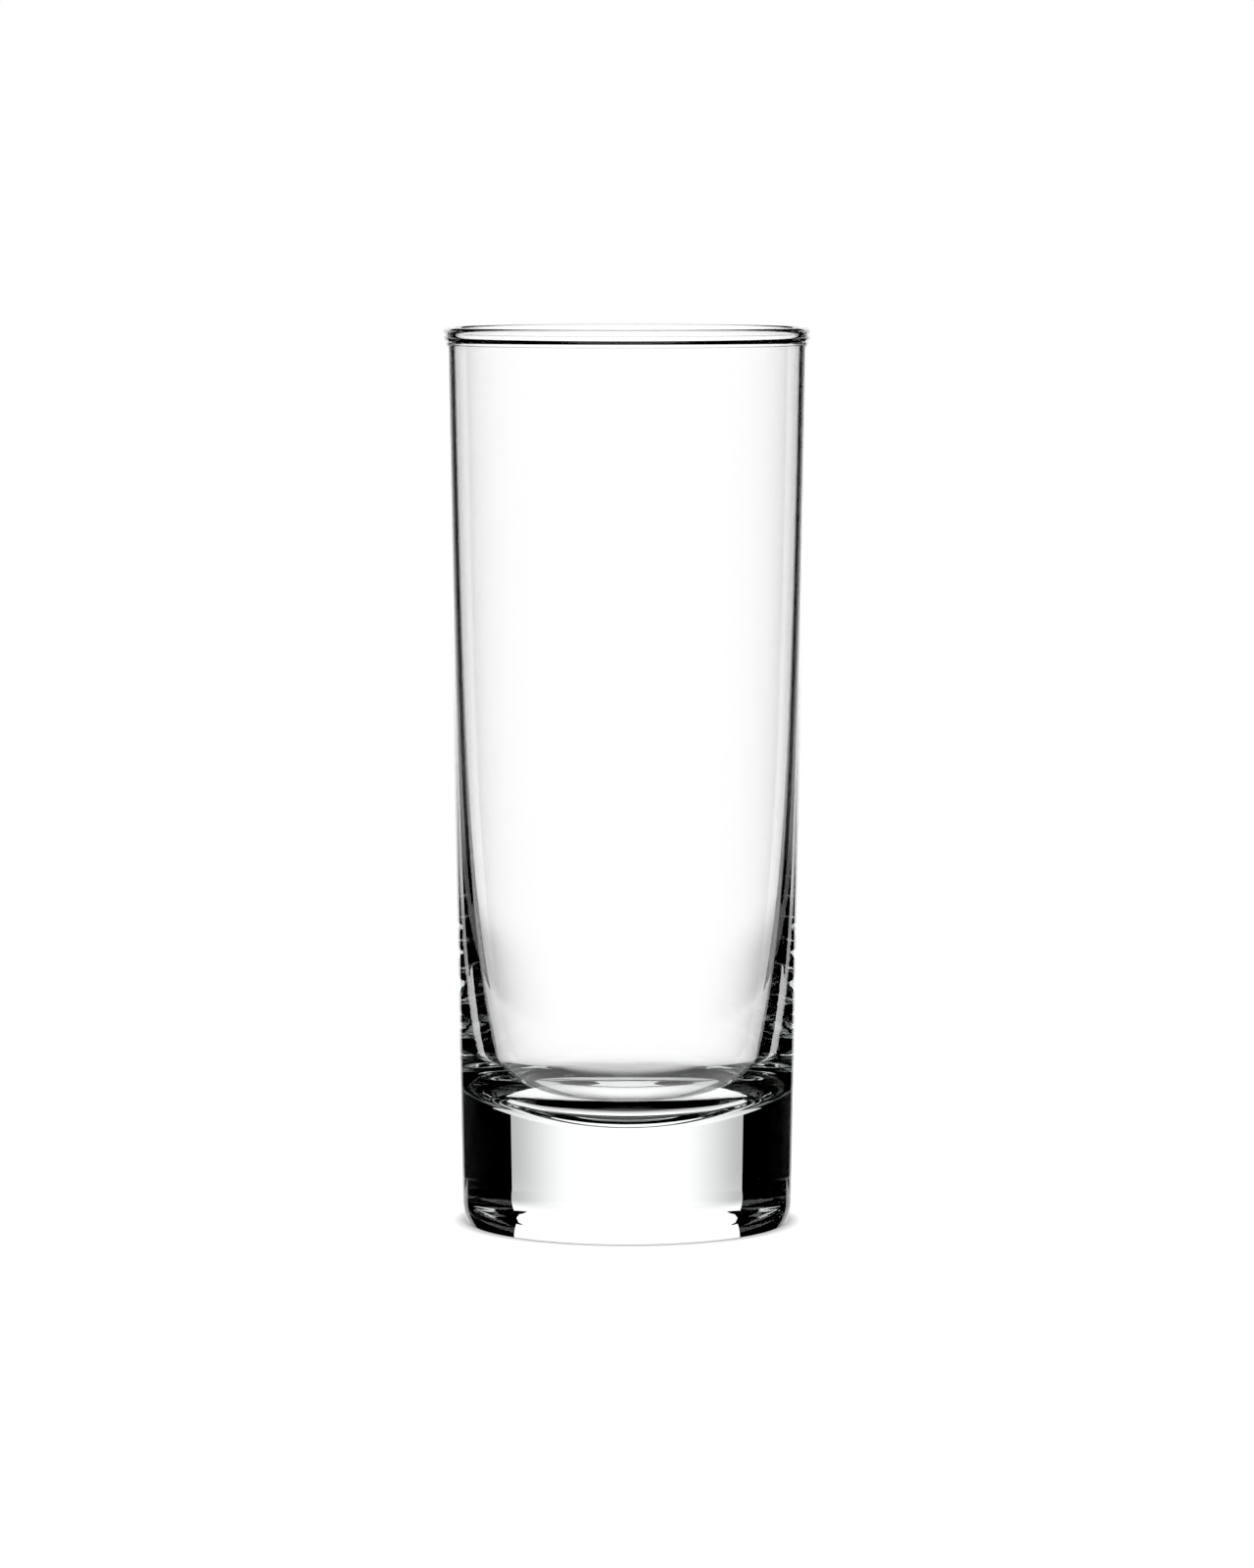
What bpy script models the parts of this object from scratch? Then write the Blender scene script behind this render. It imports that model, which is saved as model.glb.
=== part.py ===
"""Juice glass: a tall clear tumbler with a heavy solid base.

The real glass is one piece of pressed soda-lime glass. It is modelled as the three zones that the
glassmaker forms, each turned about the upright axis and each meeting the next on a flat ring:
heavy_base, the solid foot with the bowl-shaped floor of the inside; side_wall, the tapering wall
that thins upwards; rim_bead, the fire-polished lip.
"""

import math

import bmesh
import bpy
from mathutils import Vector
from mathutils.geometry import interpolate_bezier

# Overall sizes, in metres
HEIGHT = 0.1345
BEAD_DIAMETER = 0.0550  # outside of the lip
NECK_DIAMETER = 0.0541  # outside of the wall just under the lip
BASE_DIAMETER = 0.0495  # where the straight sides would meet the table

# Lip
BEAD_THICKNESS = 0.00186
BEAD_HEIGHT = 0.0027  # top of the lip down to the plain wall

# Wall, which thins upwards from the base
WALL_AT_RIM = 0.00117
WALL_AT_FOOT = 0.0041
THINNING_LENGTH = 0.0205  # height in which the extra thickness falls to 37%

# Base and the floor of the inside
FLOOR_THICKNESS = 0.0148  # glass under the lowest point of the inside
BOWL_DEPTH = 0.0036
CORNER_RISE = 0.0080
CORNER_RUN = 0.0050
COLLAR_HEIGHT = 0.0026  # wall that belongs to the base, above the rounded corner
HEEL_RISE = 0.0031  # height of the curved heel
HEEL_TURN = math.radians(23)  # how far the heel turns in before the bearing ring
BEARING_RING_WIDTH = 0.0040
PUNT_DEPTH = 0.0004  # hollow under the base, inside the bearing ring

# Fineness of the turned solids
TURN_STEPS = 72
PUNT_STEPS = 3
HEEL_STEPS = 5
CORNER_STEPS = 6
BOWL_STEPS = 5
WALL_STEPS = 10
LIP_BLEND_STEPS = 4
LIP_ROUND_STEPS = 8

# Share of a tangent's length that makes a Bezier curve follow a quarter of a circle
ROUND_HANDLE = 0.5523

# Points of the turned mesh closer than this are one point; edges sharper than this stay crisp
MERGE_DISTANCE = 1e-6
CRISP_ANGLE = math.radians(40)

# Clear soda-lime glass, colour and polish
GLASS_COLOUR = (0.93, 0.96, 0.95, 1.0)
GLASS_ROUGHNESS = 0.02
GLASS_IOR = 1.52

NECK_LEVEL = HEIGHT - BEAD_HEIGHT
BOWL_EDGE_LEVEL = FLOOR_THICKNESS + BOWL_DEPTH
CORNER_TOP_LEVEL = BOWL_EDGE_LEVEL + CORNER_RISE
FOOT_LEVEL = CORNER_TOP_LEVEL + COLLAR_HEIGHT
TAPER = (NECK_DIAMETER - BASE_DIAMETER) / 2 / NECK_LEVEL
TAPER_ANGLE = math.atan(TAPER)


def outer_radius(level):
    """Radius of the straight tapering outside at a height."""
    return BASE_DIAMETER / 2 + TAPER * level


def wall_thickness(level):
    """Thickness of the wall at a height, level with the table."""
    extra = (WALL_AT_FOOT - WALL_AT_RIM) * math.exp((FOOT_LEVEL - level) / THINNING_LENGTH)
    return WALL_AT_RIM + extra


def inner_radius(level):
    """Radius of the inside at a height above the rounded corner."""
    return outer_radius(level) - wall_thickness(level)


def inner_slope(level):
    """How fast the inside widens with height."""
    return TAPER + (wall_thickness(level) - WALL_AT_RIM) / THINNING_LENGTH


def circle_arc(centre_radius, centre_level, size, start, end, steps):
    """Points on an arc of a section, from one angle to another, both ends included."""
    angles = [start + (end - start) * step / steps for step in range(steps + 1)]
    return [
        (centre_radius + size * math.cos(angle), centre_level + size * math.sin(angle))
        for angle in angles
    ]


def smooth_curve(start, start_handle, end_handle, end, steps):
    """Points on a Bezier curve of a section, both ends included."""
    knots = [Vector((radius, level, 0.0)) for radius, level in (start, start_handle, end_handle, end)]
    return [(point.x, point.y) for point in interpolate_bezier(*knots, steps + 1)]


def shallow_dome(edge_radius, crown_level, edge_level, steps):
    """Points on a shallow round dome or bowl, from the axis out to its edge."""
    rise = edge_level - crown_level
    radii = [edge_radius * step / steps for step in range(steps + 1)]
    if rise == 0.0:
        return [(radius, crown_level) for radius in radii]
    ball = (edge_radius ** 2 + rise ** 2) / (2 * abs(rise))
    sign = math.copysign(1.0, rise)
    return [(radius, crown_level + sign * (ball - math.sqrt(ball ** 2 - radius ** 2))) for radius in radii]


def heel_outline():
    """Curved heel, from a crisp edge on the bearing ring up to the tapering side."""
    size = HEEL_RISE / (math.sin(HEEL_TURN) - math.sin(TAPER_ANGLE))
    centre_radius = outer_radius(HEEL_RISE) - size * math.cos(TAPER_ANGLE)
    centre_level = size * math.sin(HEEL_TURN)
    return circle_arc(centre_radius, centre_level, size, -HEEL_TURN, -TAPER_ANGLE, HEEL_STEPS)


def punt_outline(ring_outside):
    """Shallow hollow under the base, out to the flat bearing ring."""
    return shallow_dome(ring_outside - BEARING_RING_WIDTH, PUNT_DEPTH, 0.0, PUNT_STEPS)


def corner_outline():
    """Rounded inside corner, from the wall down to the edge of the bowl-shaped floor."""
    top = Vector((inner_radius(CORNER_TOP_LEVEL), CORNER_TOP_LEVEL))
    edge = Vector((top.x - CORNER_RUN, BOWL_EDGE_LEVEL))
    ball = (edge.x ** 2 + BOWL_DEPTH ** 2) / (2 * BOWL_DEPTH)
    bowl_tilt = math.asin(edge.x / ball)
    down_wall = Vector((-inner_slope(CORNER_TOP_LEVEL), -1.0)).normalized()
    up_bowl = Vector((math.cos(bowl_tilt), math.sin(bowl_tilt)))
    return smooth_curve(
        top,
        top + down_wall * CORNER_RISE * ROUND_HANDLE,
        edge + up_bowl * CORNER_RUN * ROUND_HANDLE,
        edge,
        CORNER_STEPS,
    )


def base_outline():
    """Section of the base, from the axis underneath round to the axis on the floor of the inside."""
    heel = heel_outline()
    corner = corner_outline()
    bowl_edge_radius = corner[-1][0]
    bowl = shallow_dome(bowl_edge_radius, FLOOR_THICKNESS, BOWL_EDGE_LEVEL, BOWL_STEPS)
    collar = [
        (outer_radius(FOOT_LEVEL), FOOT_LEVEL),
        (inner_radius(FOOT_LEVEL), FOOT_LEVEL),
    ]
    return punt_outline(heel[0][0]) + heel + collar + corner + bowl[-2::-1]


def wall_outline():
    """Closed section of the wall between the base and the lip."""
    levels = [
        NECK_LEVEL + (FOOT_LEVEL - NECK_LEVEL) * (step / WALL_STEPS) for step in range(WALL_STEPS + 1)
    ]
    outside = [(outer_radius(FOOT_LEVEL), FOOT_LEVEL), (outer_radius(NECK_LEVEL), NECK_LEVEL)]
    return outside + [(inner_radius(level), level) for level in levels]


def bead_outline():
    """Closed section of the lip: a round bead that blends into the wall on both sides."""
    round_size = BEAD_THICKNESS / 2
    round_level = HEIGHT - round_size
    bead_outside = BEAD_DIAMETER / 2
    bead_inside = bead_outside - BEAD_THICKNESS
    reach = (round_level - NECK_LEVEL) * ROUND_HANDLE

    def blend(wall_radius, bead_radius):
        return smooth_curve(
            (wall_radius, NECK_LEVEL),
            (wall_radius, NECK_LEVEL + reach),
            (bead_radius, round_level - reach),
            (bead_radius, round_level),
            LIP_BLEND_STEPS,
        )

    outside = blend(outer_radius(NECK_LEVEL), bead_outside)
    inside = blend(inner_radius(NECK_LEVEL), bead_inside)
    crown = circle_arc(bead_outside - round_size, round_level, round_size, 0.0, math.pi, LIP_ROUND_STEPS)
    return outside[:-1] + crown + inside[-2::-1]


def clear_scene():
    """Remove whatever the scene holds."""
    for item in list(bpy.data.objects):
        bpy.data.objects.remove(item, do_unlink=True)


def clear_glass(name):
    """Polished clear glass for one node."""
    material = bpy.data.materials.new(name)
    material.use_nodes = True
    shader = material.node_tree.nodes["Principled BSDF"]
    shader.inputs["Base Color"].default_value = GLASS_COLOUR
    shader.inputs["Roughness"].default_value = GLASS_ROUGHNESS
    shader.inputs["Metallic"].default_value = 0.0
    shader.inputs["IOR"].default_value = GLASS_IOR
    shader.inputs["Transmission Weight"].default_value = 1.0
    return material


def turned(name, outline, seat_level, parent, closed):
    """Turn a section about the upright axis into one solid that stands on its seat."""
    shape = bmesh.new()
    points = [shape.verts.new((radius, 0.0, level - seat_level)) for radius, level in outline]
    runs = list(zip(points, points[1:]))
    if closed:
        runs.append((points[-1], points[0]))
    edges = [shape.edges.new(run) for run in runs]
    bmesh.ops.spin(
        shape,
        geom=points + edges,
        axis=(0.0, 0.0, 1.0),
        cent=(0.0, 0.0, 0.0),
        angle=2 * math.pi,
        steps=TURN_STEPS,
        use_merge=True,
    )
    bmesh.ops.remove_doubles(shape, verts=shape.verts, dist=MERGE_DISTANCE)
    bmesh.ops.recalc_face_normals(shape, faces=shape.faces)
    mesh = bpy.data.meshes.new(name)
    shape.to_mesh(mesh)
    shape.free()
    mesh.shade_smooth()
    mesh.set_sharp_from_angle(angle=CRISP_ANGLE)
    mesh.materials.append(clear_glass(f"clear_glass_{name}"))
    solid = bpy.data.objects.new(name, mesh)
    bpy.context.scene.collection.objects.link(solid)
    solid.parent = parent
    solid.location = (0.0, 0.0, seat_level)
    return solid


def build():
    """Make the three zones of the glass, standing on the table at the origin."""
    clear_scene()
    glass = bpy.data.objects.new("juice_glass", None)
    bpy.context.scene.collection.objects.link(glass)
    turned("heavy_base", base_outline(), 0.0, glass, closed=False)
    turned("side_wall", wall_outline(), FOOT_LEVEL, glass, closed=True)
    turned("rim_bead", bead_outline(), NECK_LEVEL, glass, closed=True)


build()
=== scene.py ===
"""Looks of a juice glass: a tall clear tumbler with a heavy solid base, on a white studio set.

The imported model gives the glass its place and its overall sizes. Here the glass is turned as one
continuous skin, as the real glass is, so that light bends through it without seams. The set is a
bright field: lit white sheets behind the glass, limited in width, in a dark room. That is what
draws the black edges of clear glass on white.
"""

import logging
import math
from dataclasses import dataclass, field
from enum import Enum
from typing import Any

import bpy
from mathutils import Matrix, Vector
from mathutils.geometry import interpolate_bezier


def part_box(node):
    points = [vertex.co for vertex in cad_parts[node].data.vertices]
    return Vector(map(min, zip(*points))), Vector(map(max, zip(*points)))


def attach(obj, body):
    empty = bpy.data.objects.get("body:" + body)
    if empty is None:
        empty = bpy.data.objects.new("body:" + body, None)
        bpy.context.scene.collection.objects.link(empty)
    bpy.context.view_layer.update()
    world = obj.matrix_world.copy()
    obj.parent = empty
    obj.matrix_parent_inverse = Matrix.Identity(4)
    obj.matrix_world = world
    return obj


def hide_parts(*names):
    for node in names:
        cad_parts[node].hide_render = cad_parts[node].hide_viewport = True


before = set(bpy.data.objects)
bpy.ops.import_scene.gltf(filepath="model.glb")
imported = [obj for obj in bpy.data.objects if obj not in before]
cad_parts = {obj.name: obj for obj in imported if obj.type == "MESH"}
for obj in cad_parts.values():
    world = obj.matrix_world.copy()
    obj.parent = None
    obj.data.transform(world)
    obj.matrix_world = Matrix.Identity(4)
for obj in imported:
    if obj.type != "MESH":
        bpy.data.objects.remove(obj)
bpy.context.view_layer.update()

log = logging.getLogger("juice_glass")

MILLIMETRE = 0.001
WHITE = (1.0, 1.0, 1.0, 1.0)

# Glass surfaces that one ray of light may pass or be mirrored by
GLASS_BOUNCES = 24

# Point attribute of the glass that is 1 where the plunger formed the skin
PLUNGER_MARK = "plunger_side"

# Share of a tangent's length that makes a Bezier curve follow a quarter of a circle
ROUND_HANDLE = 0.5523

# A point of a section: distance from the upright axis and height above the table, in metres
SectionPoint = tuple[float, float]

# A corner of a flat sheet of the set, in metres
Corner = tuple[float, float, float]


class Node(Enum):
    """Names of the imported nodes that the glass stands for."""

    BASE = "heavy_base"
    WALL = "side_wall"
    LIP = "rim_bead"


class Shader(Enum):
    """Kinds of shader node that the finishes use."""

    ABSORPTION = "ShaderNodeVolumeAbsorption"
    ATTRIBUTE = "ShaderNodeAttribute"
    BACKGROUND = "ShaderNodeBackground"
    BUMP = "ShaderNodeBump"
    CONTACT = "ShaderNodeAmbientOcclusion"
    COORDINATES = "ShaderNodeTexCoord"
    DIFFUSE = "ShaderNodeBsdfDiffuse"
    EMISSION = "ShaderNodeEmission"
    MAPPING = "ShaderNodeMapping"
    MATHS = "ShaderNodeMath"
    NOISE = "ShaderNodeTexNoise"
    OUTPUT = "ShaderNodeOutputMaterial"
    PRINCIPLED = "ShaderNodeBsdfPrincipled"
    RANGE = "ShaderNodeMapRange"
    SPLIT = "ShaderNodeSeparateXYZ"
    SUM = "ShaderNodeAddShader"
    WORLD_OUTPUT = "ShaderNodeOutputWorld"


def linear_colour(hex_colour: str) -> tuple[float, float, float, float]:
    """Turn an sRGB hex colour into linear red, green, blue and full alpha.

    Args:
        hex_colour: Colour such as "#F4F8F6".

    Returns:
        The colour that a shader socket takes.
    """
    digits = hex_colour.lstrip("#")
    shares = [int(digits[start:start + 2], 16) / 255 for start in (0, 2, 4)]
    # The sRGB curve is straight for dark values and a power for the rest
    red, green, blue = (
        share / 12.92 if share <= 0.04045 else ((share + 0.055) / 1.055) ** 2.4 for share in shares
    )
    return red, green, blue, 1.0


def add_node(
    tree: bpy.types.NodeTree,
    kind: Shader,
    settings: dict[str, Any] | None = None,
    inputs: dict[str | int, Any] | None = None,
) -> bpy.types.Node:
    """Add one shader node, set it and link it.

    Args:
        tree: Node tree that gets the node.
        kind: Which kind of node.
        settings: Properties of the node by name.
        inputs: Values of its sockets by name or number; an output socket given here is linked.

    Returns:
        The new node.
    """
    node = tree.nodes.new(kind.value)
    for name, value in (settings or {}).items():
        setattr(node, name, value)
    for name, value in (inputs or {}).items():
        if isinstance(value, bpy.types.NodeSocket):
            tree.links.new(value, node.inputs[name])
        else:
            node.inputs[name].default_value = value
    return node


def empty_material(name: str) -> bpy.types.Material:
    """Make a material with an empty node tree.

    Args:
        name: Name of the material.

    Returns:
        The material.
    """
    material = bpy.data.materials.new(name)
    material.use_nodes = True
    material.node_tree.nodes.clear()
    return material


def link_object(name: str, data: bpy.types.ID | None) -> bpy.types.Object:
    """Put a new object into the scene.

    Args:
        name: Name of the object.
        data: Its mesh or camera, or None for an empty.

    Returns:
        The object.
    """
    thing = bpy.data.objects.new(name, data)
    bpy.context.scene.collection.objects.link(thing)
    return thing


@dataclass(frozen=True)
class PressedClearGlass:
    """Clear soda-lime glass, pressed in a mould and fire-polished.

    The flame leaves a mirror-smooth skin, so all that the eye gets is refraction, black and white
    edges, and a breath of green where the glass is thick. The plunger leaves faint waves low on
    the inside, which only show where the wall is seen edge on.
    """

    tint: str = "#DCEFE5"
    absorption_per_metre: float = 3.0
    ior: float = 1.52
    polish: float = 0.0  # roughness of the flame-polished skin
    wave_spacing_mm: Vector = field(default_factory=lambda: Vector((9.0, 9.0, 1.6)))
    wave_height: float = 0.000008
    wave_detail: float = 2.0
    wave_bottom: float = 0.024  # the waves are full up to this height
    wave_top: float = 0.080  # and gone from this one on

    def material(self, name: str) -> bpy.types.Material:
        """Make the finish.

        Args:
            name: Name of the material.

        Returns:
            The material, with a surface and a faintly absorbing inside.
        """
        material = empty_material(name)
        tree = material.node_tree
        surface = add_node(tree, Shader.PRINCIPLED, inputs={
            "Base Color": WHITE,
            "Transmission Weight": 1.0,
            "IOR": self.ior,
            "Roughness": self.polish,
            "Normal": self.waves(tree),
        })
        inside = add_node(tree, Shader.ABSORPTION, inputs={
            "Color": linear_colour(self.tint),
            "Density": self.absorption_per_metre,
        })
        add_node(tree, Shader.OUTPUT, inputs={
            "Surface": surface.outputs["BSDF"],
            "Volume": inside.outputs["Volume"],
        })
        return material

    def waves(self, tree: bpy.types.NodeTree) -> bpy.types.NodeSocket:
        """Faint plunger waves low on the inside of the wall.

        Args:
            tree: Node tree of the material.

        Returns:
            The waved surface normal.
        """
        place = add_node(tree, Shader.COORDINATES).outputs["Object"]
        level = add_node(tree, Shader.SPLIT, inputs={"Vector": place}).outputs["Z"]
        per_metre = [1 / (spacing * MILLIMETRE) for spacing in self.wave_spacing_mm]
        stretched = add_node(tree, Shader.MAPPING, inputs={"Vector": place, "Scale": per_metre})
        noise = add_node(tree, Shader.NOISE, inputs={
            "Vector": stretched.outputs["Vector"],
            "Scale": 1.0,
            "Detail": self.wave_detail,
        })
        fade = add_node(tree, Shader.RANGE, {"interpolation_type": "SMOOTHSTEP"}, {
            "Value": level,
            "From Min": self.wave_bottom,
            "From Max": self.wave_top,
            "To Min": 1.0,
            "To Max": 0.0,
        })
        plunger = add_node(tree, Shader.ATTRIBUTE, {"attribute_name": PLUNGER_MARK})
        strength = add_node(tree, Shader.MATHS, {"operation": "MULTIPLY"}, {
            0: fade.outputs["Result"],
            1: plunger.outputs["Fac"],
        })
        bump = add_node(tree, Shader.BUMP, inputs={
            "Height": noise.outputs["Fac"],
            "Distance": self.wave_height,
            "Strength": strength.outputs["Value"],
        })
        return bump.outputs["Normal"]


@dataclass
class TumblerSection:
    """Half section of the glass, from the axis underneath round to the axis inside.

    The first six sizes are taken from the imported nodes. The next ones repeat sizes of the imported
    model that the boxes of its nodes don't show, and the steps set how fine the skin is.
    """

    height: float
    bead_radius: float
    neck_level: float
    neck_radius: float
    foot_level: float
    foot_radius: float
    bead_thickness: float = 0.00186
    wall_at_rim: float = 0.00117
    wall_at_foot: float = 0.0041
    thinning_length: float = 0.0205
    floor_thickness: float = 0.0148
    bowl_depth: float = 0.0036
    corner_rise: float = 0.0080
    corner_run: float = 0.0050
    heel_rise: float = 0.0031
    heel_turn: float = math.radians(23)
    bearing_ring_width: float = 0.0040
    punt_depth: float = 0.0004
    punt_steps: int = 12
    ring_steps: int = 6
    heel_steps: int = 36
    outside_steps: int = 60
    lip_blend_steps: int = 14
    lip_round_steps: int = 28
    inside_steps: int = 110
    corner_steps: int = 40
    bowl_steps: int = 30

    @property
    def taper(self) -> float:
        """How fast the outside widens with height."""
        return (self.neck_radius - self.foot_radius) / (self.neck_level - self.foot_level)

    @property
    def bowl_edge_level(self) -> float:
        """Height of the edge of the bowl-shaped floor."""
        return self.floor_thickness + self.bowl_depth

    @property
    def corner_top_level(self) -> float:
        """Height at which the rounded inside corner meets the wall."""
        return self.bowl_edge_level + self.corner_rise

    def outer_radius(self, level: float) -> float:
        """Radius of the straight tapering outside at a height."""
        return self.foot_radius + self.taper * (level - self.foot_level)

    def wall_thickness(self, level: float) -> float:
        """Thickness of the wall at a height, level with the table."""
        extra = self.wall_at_foot - self.wall_at_rim
        return self.wall_at_rim + extra * math.exp((self.foot_level - level) / self.thinning_length)

    def inner_radius(self, level: float) -> float:
        """Radius of the inside at a height above the rounded corner."""
        return self.outer_radius(level) - self.wall_thickness(level)

    def inner_slope(self, level: float) -> float:
        """How fast the inside widens with height."""
        return self.taper + (self.wall_thickness(level) - self.wall_at_rim) / self.thinning_length

    @staticmethod
    def dome(edge_radius: float, crown: float, edge: float, steps: int) -> list[SectionPoint]:
        """Points on a shallow round dome or bowl.

        Args:
            edge_radius: Radius of its edge.
            crown: Height on the axis.
            edge: Height of the edge.
            steps: Number of steps.

        Returns:
            Points from the axis out to the edge.
        """
        rise = edge - crown
        ball = (edge_radius ** 2 + rise ** 2) / (2 * abs(rise))
        radii = [edge_radius * step / steps for step in range(steps + 1)]
        return [
            (radius, crown + math.copysign(ball - math.sqrt(ball ** 2 - radius ** 2), rise))
            for radius in radii
        ]

    @staticmethod
    def arc(
        centre: SectionPoint, size: float, start: float, end: float, steps: int
    ) -> list[SectionPoint]:
        """Points on an arc of a circle.

        Args:
            centre: Centre of the circle.
            size: Its radius.
            start: First angle.
            end: Last angle.
            steps: Number of steps.

        Returns:
            Points from the first angle to the last.
        """
        angles = [start + (end - start) * step / steps for step in range(steps + 1)]
        return [
            (centre[0] + size * math.cos(angle), centre[1] + size * math.sin(angle)) for angle in angles
        ]

    @staticmethod
    def curve(knots: list[SectionPoint], steps: int) -> list[SectionPoint]:
        """Points on a Bezier curve.

        Args:
            knots: Start, its handle, the end's handle and the end.
            steps: Number of steps.

        Returns:
            Points from the start to the end.
        """
        corners = [Vector((radius, level, 0.0)) for radius, level in knots]
        return [(point.x, point.y) for point in interpolate_bezier(*corners, steps + 1)]

    def underside(self) -> list[SectionPoint]:
        """Shallow hollow, flat bearing ring and curved heel.

        Returns:
            Points from the axis out to the tapering side.
        """
        side_angle = math.atan(self.taper)
        heel_size = self.heel_rise / (math.sin(self.heel_turn) - math.sin(side_angle))
        centre = (
            self.outer_radius(self.heel_rise) - heel_size * math.cos(side_angle),
            heel_size * math.sin(self.heel_turn),
        )
        heel = self.arc(centre, heel_size, -self.heel_turn, -side_angle, self.heel_steps)
        ring_inside = heel[0][0] - self.bearing_ring_width
        hollow = self.dome(ring_inside, self.punt_depth, 0.0, self.punt_steps)
        ring = [
            (ring_inside + self.bearing_ring_width * step / self.ring_steps, 0.0)
            for step in range(1, self.ring_steps)
        ]
        return hollow + ring + heel

    def outside(self) -> list[SectionPoint]:
        """Straight tapering side between the heel and the lip.

        Returns:
            Points from the heel up to the lip.
        """
        climb = self.neck_level - self.heel_rise
        levels = [
            self.heel_rise + climb * step / self.outside_steps for step in range(1, self.outside_steps)
        ]
        return [(self.outer_radius(level), level) for level in levels]

    def lip(self) -> list[SectionPoint]:
        """Round bead that blends into the wall on both sides.

        Returns:
            Points from the outside of the wall over the bead to the inside of the wall.
        """
        round_size = self.bead_thickness / 2
        round_level = self.height - round_size
        bead_inside = self.bead_radius - self.bead_thickness
        reach = (round_level - self.neck_level) * ROUND_HANDLE

        def blend(wall: float, bead: float) -> list[SectionPoint]:
            """Curve between the wall and the bead.

            Args:
                wall: Radius of the wall at the neck.
                bead: Radius of the bead where it is upright.

            Returns:
                Points from the wall up to the bead.
            """
            return self.curve(
                [
                    (wall, self.neck_level),
                    (wall, self.neck_level + reach),
                    (bead, round_level - reach),
                    (bead, round_level),
                ],
                self.lip_blend_steps,
            )

        outside = blend(self.outer_radius(self.neck_level), self.bead_radius)
        inside = blend(self.inner_radius(self.neck_level), bead_inside)
        centre = (self.bead_radius - round_size, round_level)
        crown = self.arc(centre, round_size, 0.0, math.pi, self.lip_round_steps)
        return outside[:-1] + crown + inside[-2::-1]

    def cavity(self) -> list[SectionPoint]:
        """Inside of the wall, rounded corner and bowl-shaped floor.

        Returns:
            Points from the lip down to the axis.
        """
        drop = self.neck_level - self.corner_top_level
        levels = [
            self.neck_level - drop * step / self.inside_steps for step in range(1, self.inside_steps)
        ]
        wall = [(self.inner_radius(level), level) for level in levels]
        top = Vector((self.inner_radius(self.corner_top_level), self.corner_top_level))
        edge = Vector((top.x - self.corner_run, self.bowl_edge_level))
        ball = (edge.x ** 2 + self.bowl_depth ** 2) / (2 * self.bowl_depth)
        bowl_tilt = math.asin(edge.x / ball)
        down_wall = Vector((-self.inner_slope(self.corner_top_level), -1.0)).normalized()
        up_bowl = Vector((math.cos(bowl_tilt), math.sin(bowl_tilt)))
        corner = self.curve(
            [
                tuple(top),
                tuple(top + down_wall * self.corner_rise * ROUND_HANDLE),
                tuple(edge + up_bowl * self.corner_run * ROUND_HANDLE),
                tuple(edge),
            ],
            self.corner_steps,
        )
        bowl = self.dome(edge.x, self.floor_thickness, self.bowl_edge_level, self.bowl_steps)
        return wall + corner + bowl[-2::-1]


@dataclass
class Tumbler:
    """The glass itself, one skin from the hollow under the base to the floor of the inside."""

    section: TumblerSection
    finish: PressedClearGlass = field(default_factory=PressedClearGlass)
    turn_steps: int = 288
    crisp_angle: float = math.radians(40)
    name: str = "tumbler"

    @classmethod
    def from_frame(cls) -> "Tumbler":
        """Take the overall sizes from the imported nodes.

        Returns:
            The glass, ready to be built.
        """
        base_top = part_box(Node.BASE.value)[1]
        wall_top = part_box(Node.WALL.value)[1]
        lip_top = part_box(Node.LIP.value)[1]
        return cls(TumblerSection(
            height=lip_top.z,
            bead_radius=lip_top.x,
            neck_level=wall_top.z,
            neck_radius=wall_top.x,
            foot_level=base_top.z,
            foot_radius=base_top.x,
        ))

    def build(self) -> bpy.types.Object:
        """Turn the section into one closed mesh.

        Returns:
            The glass, in place.
        """
        outer = self.section.underside() + self.section.outside() + self.section.lip()
        angles = [2 * math.pi * step / self.turn_steps for step in range(self.turn_steps)]
        points = []
        rings = []
        for radius, level in outer + self.section.cavity():
            around = angles if radius > 0.0 else angles[:1]
            rings.append(range(len(points), len(points) + len(around)))
            points += [(radius * math.cos(angle), radius * math.sin(angle), level) for angle in around]
        faces = []
        for below, above in zip(rings, rings[1:]):
            faces += self.band(below, above)
        mesh = bpy.data.meshes.new(self.name)
        mesh.from_pydata(points, [], faces)
        self.mark_inside(mesh, rings[len(outer)].start)
        mesh.shade_smooth()
        mesh.set_sharp_from_angle(angle=self.crisp_angle)
        mesh.materials.append(self.finish.material("clear_glass_pressed_fire_polished"))
        return link_object(self.name, mesh)

    @staticmethod
    def mark_inside(mesh: bpy.types.Mesh, first_inside: int) -> None:
        """Mark the points of the skin that the plunger formed.

        Args:
            mesh: Mesh of the glass.
            first_inside: Number of its first point on the inside.
        """
        marks = mesh.attributes.new(PLUNGER_MARK, "FLOAT", "POINT")
        for number, mark in enumerate(marks.data):
            mark.value = float(number >= first_inside)

    def band(self, below: range, above: range) -> list[tuple[int, ...]]:
        """Faces between two rings of points, either of which may be one point on the axis.

        Args:
            below: Points of the ring that comes first in the section.
            above: Points of the next ring.

        Returns:
            Faces that point out of the glass.
        """
        faces = []
        for step in range(self.turn_steps):
            after = (step + 1) % self.turn_steps
            corners = [
                below[step % len(below)],
                below[after % len(below)],
                above[after % len(above)],
                above[step % len(above)],
            ]
            faces.append(tuple(dict.fromkeys(corners)))
        return faces

    @staticmethod
    def join_frame(glass: bpy.types.Object) -> None:
        """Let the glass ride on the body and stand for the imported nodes.

        Args:
            glass: The finished glass.
        """
        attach(glass, "root")
        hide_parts(*(node.value for node in Node))


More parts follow.
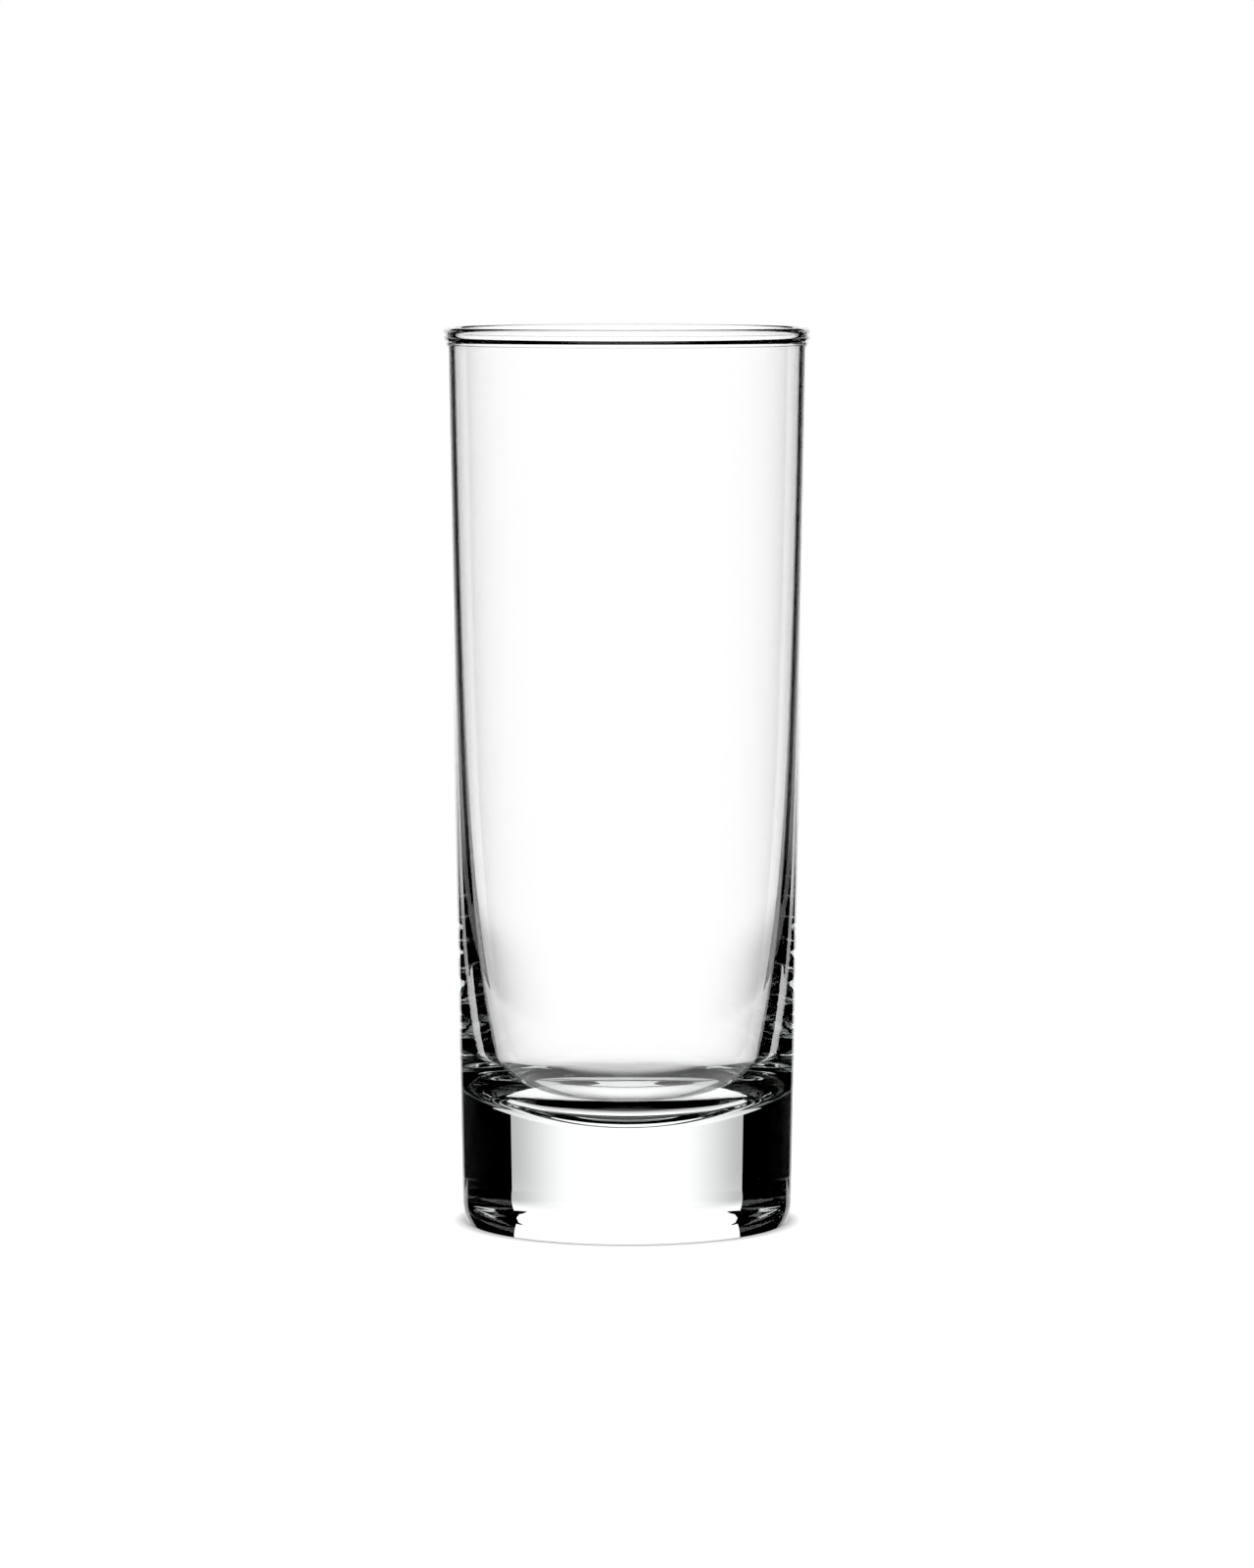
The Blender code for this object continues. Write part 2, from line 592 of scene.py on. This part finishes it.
@dataclass
class PictureCamera:
    """Long lens a little above the rim, as the picture was taken."""

    distance: float = 0.9445
    height: float = 0.1505
    aim_level: float = 0.06599
    lens: float = 144.9  # focal length in millimetres

    def build(self) -> bpy.types.Object:
        """Make the camera and give it to the scene.

        Returns:
            The camera.
        """
        camera = link_object("picture_camera", bpy.data.cameras.new("picture_camera"))
        camera.data.lens = self.lens
        camera.location = (0.0, -self.distance, self.height)
        sight = Vector((0.0, 0.0, self.aim_level)) - camera.location
        camera.rotation_mode = "QUATERNION"
        camera.rotation_quaternion = sight.to_track_quat("-Z", "Y")
        bpy.context.scene.camera = camera
        return camera


@dataclass(frozen=True)
class BacklitSheet:
    """White translucent sheet with lamps behind it, as glass is photographed against.

    High up it is evenly bright, so a clear wall stays white. Near the level of the table it dims at
    the sides, which shades the sides of the thick base, and far down it fades. Past its edges the
    room is dark, which draws the black lines in the glass.
    """

    half_width: float
    top: float
    bottom: float
    even: float  # half width of its evenly bright middle
    side: float  # share of the light at its side edges
    dim_side: float  # the same share about the dim level
    dim_level: float = -0.008
    dim_core: float = 0.006  # the sides are dimmest this near to the dim level
    dim_reach: float = 0.024  # and no longer dimmed this far from it
    strength: float = 1.2
    fade_top: float = -0.041
    fade_bottom: float = -0.43
    fade_left: float = 0.06  # share of the light that is left at the bottom of the fade

    def material(self, name: str) -> bpy.types.Material:
        """Make the finish.

        Args:
            name: Name of the material.

        Returns:
            The material.
        """
        material = empty_material(name)
        tree = material.node_tree
        where = add_node(tree, Shader.COORDINATES).outputs["Object"]
        place = add_node(tree, Shader.SPLIT, inputs={"Vector": where})
        aside = add_node(tree, Shader.MATHS, {"operation": "ABSOLUTE"}, {0: place.outputs["X"]})
        above = add_node(tree, Shader.MATHS, {"operation": "SUBTRACT"}, {
            0: place.outputs["Z"],
            1: self.dim_level,
        })
        off_level = add_node(tree, Shader.MATHS, {"operation": "ABSOLUTE"}, {0: above.outputs["Value"]})
        side = add_node(tree, Shader.RANGE, {"interpolation_type": "SMOOTHSTEP"}, {
            "Value": off_level.outputs["Value"],
            "From Min": self.dim_core,
            "From Max": self.dim_reach,
            "To Min": self.dim_side,
            "To Max": self.side,
        })
        across = add_node(tree, Shader.RANGE, {"interpolation_type": "SMOOTHSTEP"}, {
            "Value": aside.outputs["Value"],
            "From Min": self.even,
            "From Max": self.half_width,
            "To Min": 1.0,
            "To Max": side.outputs["Result"],
        })
        down = add_node(tree, Shader.RANGE, {"interpolation_type": "SMOOTHSTEP"}, {
            "Value": place.outputs["Z"],
            "From Min": self.fade_bottom,
            "From Max": self.fade_top,
            "To Min": self.strength * self.fade_left,
            "To Max": self.strength,
        })
        glow = add_node(tree, Shader.MATHS, {"operation": "MULTIPLY"}, {
            0: across.outputs["Result"],
            1: down.outputs["Result"],
        })
        light = add_node(tree, Shader.EMISSION, inputs={
            "Color": WHITE,
            "Strength": glow.outputs["Value"],
        })
        add_node(tree, Shader.OUTPUT, inputs={"Surface": light.outputs["Emission"]})
        return material


@dataclass(frozen=True)
class PaperFloor:
    """Matt white paper, which takes the shadow of the glass.

    A light of its own keeps it white. Close to the foot of the glass that light is dimmed by an
    ambient occlusion factor: a painted contact shadow, on top of the real shadow the paper takes.
    """

    paper: str = "#F7F7F7"
    fill: float = 1.06  # strength of its own light
    painted_shadow_reach: float = 0.0025  # how far the painted contact shadow spreads

    def material(self, name: str) -> bpy.types.Material:
        """Make the finish.

        Args:
            name: Name of the material.

        Returns:
            The material.
        """
        material = empty_material(name)
        tree = material.node_tree
        paper = add_node(tree, Shader.DIFFUSE, inputs={"Color": linear_colour(self.paper)})
        # Painted contact shadow: ambient occlusion dims the floor's own light near the foot of the glass
        painted_contact_shadow = add_node(tree, Shader.CONTACT, inputs={"Distance": self.painted_shadow_reach})
        open_floor = add_node(tree, Shader.MATHS, {"operation": "MULTIPLY"}, {
            0: painted_contact_shadow.outputs["AO"],
            1: self.fill,
        })
        fill = add_node(tree, Shader.EMISSION, inputs={
            "Color": linear_colour(self.paper),
            "Strength": open_floor.outputs["Value"],
        })
        seen = add_node(tree, Shader.SUM, inputs={0: paper.outputs["BSDF"], 1: fill.outputs["Emission"]})
        add_node(tree, Shader.OUTPUT, inputs={"Surface": seen.outputs["Shader"]})
        return material


@dataclass(frozen=True)
class SoftboxCloth:
    """White diffusing cloth with a lamp behind it: an even soft light."""

    strength: float

    def material(self, name: str) -> bpy.types.Material:
        """Make the finish.

        Args:
            name: Name of the material.

        Returns:
            The material.
        """
        material = empty_material(name)
        tree = material.node_tree
        light = add_node(tree, Shader.EMISSION, inputs={
            "Color": WHITE,
            "Strength": self.strength,
        })
        add_node(tree, Shader.OUTPUT, inputs={"Surface": light.outputs["Emission"]})
        return material


@dataclass
class StudioSet:
    """White floor and backdrop, lit sheets behind the glass, a softbox in front and a dark room.

    The set stands on a turntable under the glass, so that the sheets are always behind the glass as
    the camera sees it. The sheets and the softbox are what the glass bends and mirrors, and the
    camera doesn't see them. It sees the backdrop, which nothing else sees. The lower sheet hangs
    below the floor, which is clear to what the glass bends and mirrors.
    """

    sheet: BacklitSheet = field(default_factory=lambda: BacklitSheet(
        half_width=0.0858, top=0.185, bottom=-0.024, even=0.018, side=1.0, dim_side=0.48,
    ))
    low_sheet: BacklitSheet = field(default_factory=lambda: BacklitSheet(
        half_width=0.120, top=-0.024, bottom=-0.80, even=0.018, side=0.62, dim_side=0.62,
    ))
    softbox: SoftboxCloth = field(default_factory=lambda: SoftboxCloth(1.0))
    backdrop: SoftboxCloth = field(default_factory=lambda: SoftboxCloth(1.0))
    paper: PaperFloor = field(default_factory=PaperFloor)
    sheet_distance: float = 0.163
    backdrop_distance: float = 0.18
    backdrop_half: float = 1.0
    floor_half: float = 2.0
    floor_drop: float = 0.00005  # keeps the floor clear of the bearing ring
    softbox_level: float = 0.50
    softbox_half_width: float = 0.45
    softbox_front: float = -0.95
    softbox_back: float = -0.40

    def build(self, camera: bpy.types.Object) -> None:
        """Make the turntable and what stands on it, and darken the room.

        Args:
            camera: The camera that the turntable follows round the upright axis.
        """
        turntable = link_object("set_turntable", None)
        follow = turntable.constraints.new("LOCKED_TRACK")
        follow.target = camera
        follow.track_axis = "TRACK_NEGATIVE_Y"
        follow.lock_axis = "LOCK_Z"
        floor = self.lay_floor(turntable)
        softbox = self.fly_softbox(turntable)
        sheet = self.hang("backlit_sheet", self.sheet, turntable)
        low_sheet = self.hang("backlit_low_sheet", self.low_sheet, turntable)
        backdrop = self.stand_backdrop(turntable)
        for lit in (softbox, sheet, low_sheet):
            lit.visible_camera = False
        # Upright sheets would otherwise leave a painted contact shadow where they meet the floor
        for upright in (sheet, low_sheet, backdrop):
            upright.visible_shadow = False
        for part in (floor, softbox, sheet, low_sheet, backdrop):
            log.info("set: %s", part.name)
        self.darken_room()

    def lay_floor(self, parent: bpy.types.Object) -> bpy.types.Object:
        """Lay the floor, clear to what the glass bends and mirrors.

        Args:
            parent: What it stands on.

        Returns:
            The floor.
        """
        half = self.floor_half
        corners = self.level_corners(half, -half, half, -self.floor_drop)
        floor = self.panel("studio_floor", corners, self.paper.material("white_paper_floor"), parent)
        floor.visible_transmission = False
        floor.visible_glossy = False
        return floor

    def fly_softbox(self, parent: bpy.types.Object) -> bpy.types.Object:
        """Hang the softbox level, above and in front of the glass.

        Args:
            parent: What it stands on.

        Returns:
            The softbox.
        """
        corners = self.level_corners(
            self.softbox_half_width, self.softbox_front, self.softbox_back, self.softbox_level
        )
        return self.panel("front_softbox", corners, self.softbox.material("softbox_cloth_front"), parent)

    def stand_backdrop(self, parent: bpy.types.Object) -> bpy.types.Object:
        """Stand the backdrop behind the sheets, for the camera alone.

        Args:
            parent: What it stands on.

        Returns:
            The backdrop.
        """
        half = self.backdrop_half
        corners = self.standing_corners(half, self.backdrop_distance, 0.0, half)
        cloth = self.backdrop.material("backdrop_cloth_white")
        backdrop = self.panel("white_backdrop", corners, cloth, parent)
        backdrop.visible_diffuse = False
        backdrop.visible_glossy = False
        backdrop.visible_transmission = False
        return backdrop

    @staticmethod
    def level_corners(half_width: float, front: float, back: float, level: float) -> list[Corner]:
        """Corners of a sheet that lies level.

        Args:
            half_width: Half of its width.
            front: Its edge towards the camera.
            back: Its edge away from the camera.
            level: Its height.

        Returns:
            The four corners.
        """
        return [
            (-half_width, front, level),
            (half_width, front, level),
            (half_width, back, level),
            (-half_width, back, level),
        ]

    @staticmethod
    def standing_corners(half_width: float, back: float, low: float, high: float) -> list[Corner]:
        """Corners of a sheet that stands upright behind the glass.

        Args:
            half_width: Half of its width.
            back: Its distance behind the axis.
            low: Its lower edge.
            high: Its upper edge.

        Returns:
            The four corners.
        """
        return [
            (-half_width, back, low),
            (half_width, back, low),
            (half_width, back, high),
            (-half_width, back, high),
        ]

    def hang(self, name: str, sheet: BacklitSheet, parent: bpy.types.Object) -> bpy.types.Object:
        """Hang one lit sheet behind the glass.

        Args:
            name: Name of the sheet.
            sheet: Its sizes and light.
            parent: What it stands on.

        Returns:
            The sheet.
        """
        corners = self.standing_corners(sheet.half_width, self.sheet_distance, sheet.bottom, sheet.top)
        return self.panel(name, corners, sheet.material(f"{name}_white_cloth"), parent)

    @staticmethod
    def panel(
        name: str, corners: list[Corner], material: bpy.types.Material, parent: bpy.types.Object
    ) -> bpy.types.Object:
        """Make one flat sheet of the set.

        Args:
            name: Name of the sheet.
            corners: Its four corners.
            material: Its finish.
            parent: What it stands on.

        Returns:
            The sheet.
        """
        mesh = bpy.data.meshes.new(name)
        mesh.from_pydata(corners, [], [(0, 1, 2, 3)])
        mesh.materials.append(material)
        part = link_object(name, mesh)
        part.parent = parent
        return part

    @staticmethod
    def darken_room() -> None:
        """Put the set into a black room."""
        world = bpy.data.worlds.new("dark_room")
        world.use_nodes = True
        world.node_tree.nodes.clear()
        room = add_node(world.node_tree, Shader.BACKGROUND, inputs={"Strength": 0.0})
        add_node(world.node_tree, Shader.WORLD_OUTPUT, inputs={"Surface": room.outputs["Background"]})
        bpy.context.scene.world = world


def set_light_paths() -> None:
    """Let light pass enough glass surfaces, and show colours as they are written."""
    scene = bpy.context.scene
    scene.view_settings.view_transform = "Standard"
    scene.cycles.max_bounces = GLASS_BOUNCES
    scene.cycles.transmission_bounces = GLASS_BOUNCES
    scene.cycles.glossy_bounces = GLASS_BOUNCES


def main() -> None:
    """Build the glass, the camera and the set, in that order."""
    logging.basicConfig(level=logging.INFO, format="%(message)s")
    set_light_paths()
    tumbler = Tumbler.from_frame()
    glass = tumbler.build()
    tumbler.join_frame(glass)
    log.info("piece: %s, %d faces", glass.name, len(glass.data.polygons))
    camera = PictureCamera().build()
    StudioSet().build(camera)


if __name__ == "__main__":
    main()
